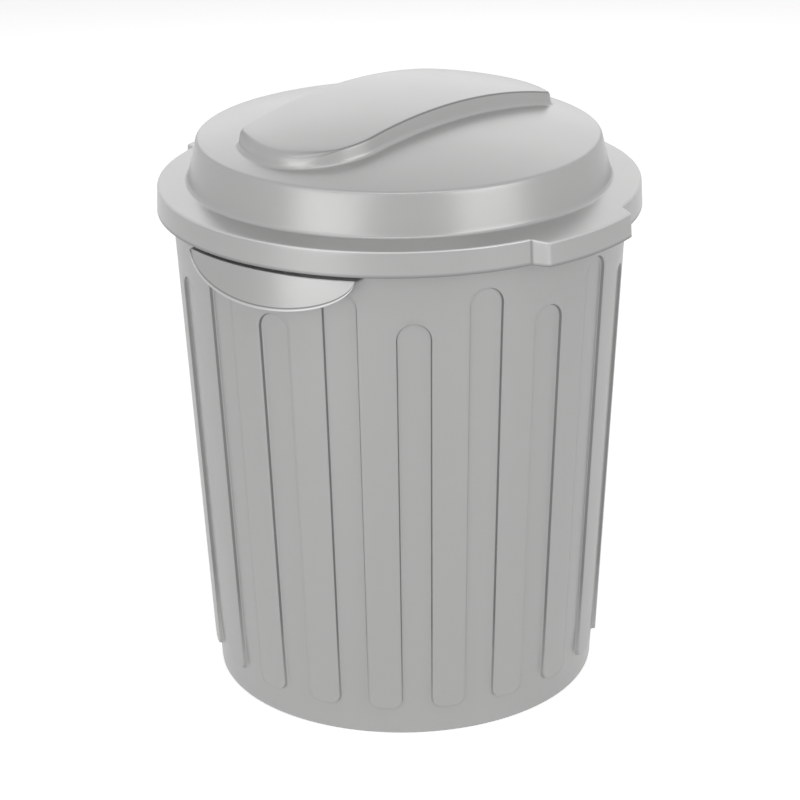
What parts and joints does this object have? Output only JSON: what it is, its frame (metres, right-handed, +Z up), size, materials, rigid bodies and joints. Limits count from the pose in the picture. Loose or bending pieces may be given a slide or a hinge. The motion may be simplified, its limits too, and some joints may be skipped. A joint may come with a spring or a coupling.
{
  "type": "round household dustbin with lid",
  "caption": "Silver-grey plastic dustbin, a round tapered bin with upright flutes and visor carry handles, and a loose domed lid with a raised grip and lifting tabs",
  "frame": {"origin": "Middle of the flat ring that the bin stands on, on the axis of the bin, at floor level", "axes": "+Z up along the axis of the bin; X runs through the two carry handles; -Y is the side of the lifting tab that the picture shows, the lid being turned 10.8 degrees from square"},
  "size_m": [0.4704, 0.4904, 0.5852],
  "materials": {
    "bin_plastic": "satin moulded polypropylene coloured silver grey with fine metallic pigment",
    "lid_plastic": "satin moulded polypropylene coloured silver grey with fine metallic pigment, a little smoother than the bin"
  },
  "bodies": {
    "bin": {"bin_body": "bin_plastic", "carry_handle_right": "bin_plastic", "carry_handle_left": "bin_plastic"},
    "lid": {"lid": "lid_plastic"}
  },
  "joints": [
    {"name": "lid_lift", "type": "slide", "parent": "bin", "child": "lid", "axis": [0, 0, 1], "range_m": [0, 0.22]}
  ]
}
